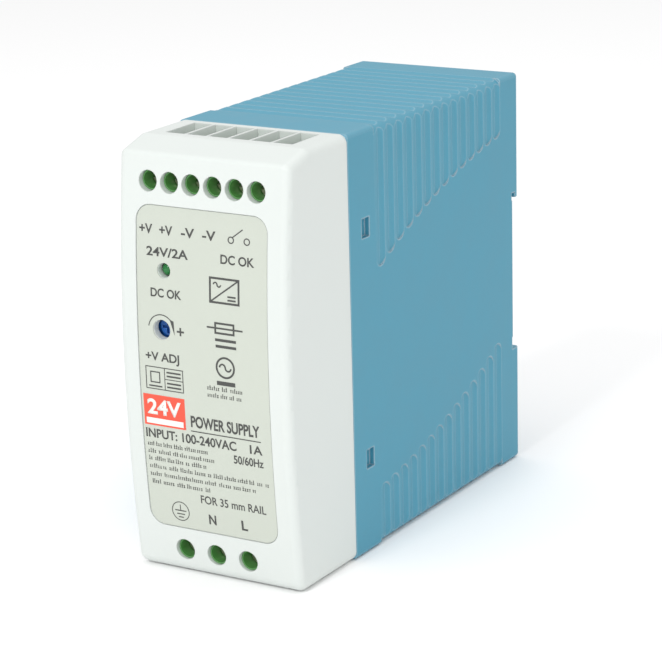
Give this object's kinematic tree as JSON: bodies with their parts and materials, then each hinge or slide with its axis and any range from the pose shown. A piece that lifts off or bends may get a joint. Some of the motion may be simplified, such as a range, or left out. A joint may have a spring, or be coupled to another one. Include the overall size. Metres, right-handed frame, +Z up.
{
  "type": "din rail power supply",
  "caption": "Slim DIN rail power supply with a ribbed rear case, bowed front cover, screw terminals above and below, status lamp, voltage trimmer and sprung rail latch.",
  "frame": {"origin": "bottom centre of the bounding box", "axes": "+X to the right seen from the front, front faces -Y, +Z up, rail at +Y"},
  "size_m": [0.04, 0.1, 0.09],
  "materials": {
    "case_blue": "fine satin moulded plastic",
    "cover_white": "satin moulded plastic",
    "label_film": "printed satin film",
    "latch_grey": "satin moulded plastic",
    "spring_steel": "drawn wire",
    "terminal_green": "satin moulded plastic",
    "screw_plated": "bright plated",
    "clamp_plated": "bright plated",
    "contact_tinned": "tinned",
    "board_laminate": "coated laminate",
    "black_plastic": "satin",
    "lamp_resin": "tinted resin",
    "trimmer_blue": "gloss moulded plastic",
    "sheet_film": "translucent film",
    "ceramic_body": "glazed tube",
    "disc_lacquer": "lacquered disc",
    "film_box": "moulded box",
    "ferrite": "sintered",
    "copper_wire": "enamelled wire",
    "winding_tape": "polyester tape",
    "capacitor_sleeve": "shrink sleeve",
    "heatsink_aluminium": "plain"
  },
  "bodies": {
    "case": {"rear_case": "case_blue", "front_cover": "cover_white", "label": "label_film", "latch_spring": "spring_steel", "output_terminal_housing": "terminal_green", "output_terminal_pins": "contact_tinned", "input_terminal_housing": "terminal_green", "input_terminal_pins": "contact_tinned", "front_board": "board_laminate", "signal_board": "board_laminate", "signal_header": "black_plastic", "status_led": "lamp_resin", "trimmer_body": "trimmer_blue", "main_board": "board_laminate", "board_link_pins": "contact_tinned", "insulation_sheet": "sheet_film", "fuse": "ceramic_body", "inrush_thermistor": "disc_lacquer", "varistor": "disc_lacquer", "x_capacitor": "film_box", "line_choke_core": "ferrite", "line_choke_windings": "copper_wire", "bridge_rectifier": "black_plastic", "bulk_capacitor": "capacitor_sleeve", "primary_heatsink": "heatsink_aluminium", "switching_transistor": "black_plastic", "transformer_core": "ferrite", "transformer_bobbin": "black_plastic", "transformer_winding": "winding_tape", "output_heatsink": "heatsink_aluminium", "output_rectifier": "black_plastic", "output_choke_core": "ferrite", "output_choke_winding": "copper_wire", "output_capacitors": "capacitor_sleeve", "y_capacitor": "disc_lacquer", "optocouplers": "black_plastic", "control_ic": "black_plastic", "alarm_relay": "black_plastic", "heatsink_screws": "screw_plated"},
    "latch": {"rail_latch": "latch_grey"},
    "trimmer": {"trimmer_rotor": "trimmer_blue"},
    "output_screw_1": {"output_screw_1": "screw_plated"},
    "output_clamp_1": {"output_clamp_1": "clamp_plated"},
    "output_screw_2": {"output_screw_2": "screw_plated"},
    "output_clamp_2": {"output_clamp_2": "clamp_plated"},
    "output_screw_3": {"output_screw_3": "screw_plated"},
    "output_clamp_3": {"output_clamp_3": "clamp_plated"},
    "output_screw_4": {"output_screw_4": "screw_plated"},
    "output_clamp_4": {"output_clamp_4": "clamp_plated"},
    "output_screw_5": {"output_screw_5": "screw_plated"},
    "output_clamp_5": {"output_clamp_5": "clamp_plated"},
    "output_screw_6": {"output_screw_6": "screw_plated"},
    "output_clamp_6": {"output_clamp_6": "clamp_plated"},
    "input_screw_1": {"input_screw_1": "screw_plated"},
    "input_clamp_1": {"input_clamp_1": "clamp_plated"},
    "input_screw_2": {"input_screw_2": "screw_plated"},
    "input_clamp_2": {"input_clamp_2": "clamp_plated"},
    "input_screw_3": {"input_screw_3": "screw_plated"},
    "input_clamp_3": {"input_clamp_3": "clamp_plated"}
  },
  "joints": [
    {"name": "rail_latch_slide", "type": "slide", "parent": "case", "child": "latch", "axis": [0, 0, -1], "range_m": [0, 0.003], "stiffness_N_per_m": 800, "springref_m": -0.004, "deforming": ["latch_spring"]},
    {"name": "trimmer_turn", "type": "hinge", "parent": "case", "child": "trimmer", "pos_m": [-0.0097, -0.0464, 0.0524], "axis": [0, 1, 0], "range_deg": [-105, 105]},
    {"name": "output_screw_1_turn", "type": "hinge", "parent": "case", "child": "output_screw_1", "pos_m": [-0.0127, -0.0428, 0.0823], "axis": [0, 1, 0], "range_deg": [0, 2160]},
    {"name": "output_clamp_1_slide", "type": "slide", "parent": "case", "child": "output_clamp_1", "axis": [0, -1, 0], "range_m": [0, 0.003]},
    {"name": "output_screw_2_turn", "type": "hinge", "parent": "case", "child": "output_screw_2", "pos_m": [-0.00762, -0.0428, 0.0823], "axis": [0, 1, 0], "range_deg": [0, 2160]},
    {"name": "output_clamp_2_slide", "type": "slide", "parent": "case", "child": "output_clamp_2", "axis": [0, -1, 0], "range_m": [0, 0.003]},
    {"name": "output_screw_3_turn", "type": "hinge", "parent": "case", "child": "output_screw_3", "pos_m": [-0.00254, -0.0428, 0.0823], "axis": [0, 1, 0], "range_deg": [0, 2160]},
    {"name": "output_clamp_3_slide", "type": "slide", "parent": "case", "child": "output_clamp_3", "axis": [0, -1, 0], "range_m": [0, 0.003]},
    {"name": "output_screw_4_turn", "type": "hinge", "parent": "case", "child": "output_screw_4", "pos_m": [0.00254, -0.0428, 0.0823], "axis": [0, 1, 0], "range_deg": [0, 2160]},
    {"name": "output_clamp_4_slide", "type": "slide", "parent": "case", "child": "output_clamp_4", "axis": [0, -1, 0], "range_m": [0, 0.003]},
    {"name": "output_screw_5_turn", "type": "hinge", "parent": "case", "child": "output_screw_5", "pos_m": [0.00762, -0.0428, 0.0823], "axis": [0, 1, 0], "range_deg": [0, 2160]},
    {"name": "output_clamp_5_slide", "type": "slide", "parent": "case", "child": "output_clamp_5", "axis": [0, -1, 0], "range_m": [0, 0.003]},
    {"name": "output_screw_6_turn", "type": "hinge", "parent": "case", "child": "output_screw_6", "pos_m": [0.0127, -0.0428, 0.0823], "axis": [0, 1, 0], "range_deg": [0, 2160]},
    {"name": "output_clamp_6_slide", "type": "slide", "parent": "case", "child": "output_clamp_6", "axis": [0, -1, 0], "range_m": [0, 0.003]},
    {"name": "input_screw_1_turn", "type": "hinge", "parent": "case", "child": "input_screw_1", "pos_m": [-0.00762, -0.0428, 0.0052], "axis": [0, 1, 0], "range_deg": [0, 2160]},
    {"name": "input_clamp_1_slide", "type": "slide", "parent": "case", "child": "input_clamp_1", "axis": [0, -1, 0], "range_m": [0, 0.003]},
    {"name": "input_screw_2_turn", "type": "hinge", "parent": "case", "child": "input_screw_2", "pos_m": [0, -0.0428, 0.0052], "axis": [0, 1, 0], "range_deg": [0, 2160]},
    {"name": "input_clamp_2_slide", "type": "slide", "parent": "case", "child": "input_clamp_2", "axis": [0, -1, 0], "range_m": [0, 0.003]},
    {"name": "input_screw_3_turn", "type": "hinge", "parent": "case", "child": "input_screw_3", "pos_m": [0.00762, -0.0428, 0.0052], "axis": [0, 1, 0], "range_deg": [0, 2160]},
    {"name": "input_clamp_3_slide", "type": "slide", "parent": "case", "child": "input_clamp_3", "axis": [0, -1, 0], "range_m": [0, 0.003]}
  ],
  "couplings": [
    {"joint": "output_screw_1_turn", "follows": "output_clamp_1_slide", "rad_per_m": 12566},
    {"joint": "output_screw_2_turn", "follows": "output_clamp_2_slide", "rad_per_m": 12566},
    {"joint": "output_screw_3_turn", "follows": "output_clamp_3_slide", "rad_per_m": 12566},
    {"joint": "output_screw_4_turn", "follows": "output_clamp_4_slide", "rad_per_m": 12566},
    {"joint": "output_screw_5_turn", "follows": "output_clamp_5_slide", "rad_per_m": 12566},
    {"joint": "output_screw_6_turn", "follows": "output_clamp_6_slide", "rad_per_m": 12566},
    {"joint": "input_screw_1_turn", "follows": "input_clamp_1_slide", "rad_per_m": 12566},
    {"joint": "input_screw_2_turn", "follows": "input_clamp_2_slide", "rad_per_m": 12566},
    {"joint": "input_screw_3_turn", "follows": "input_clamp_3_slide", "rad_per_m": 12566}
  ]
}
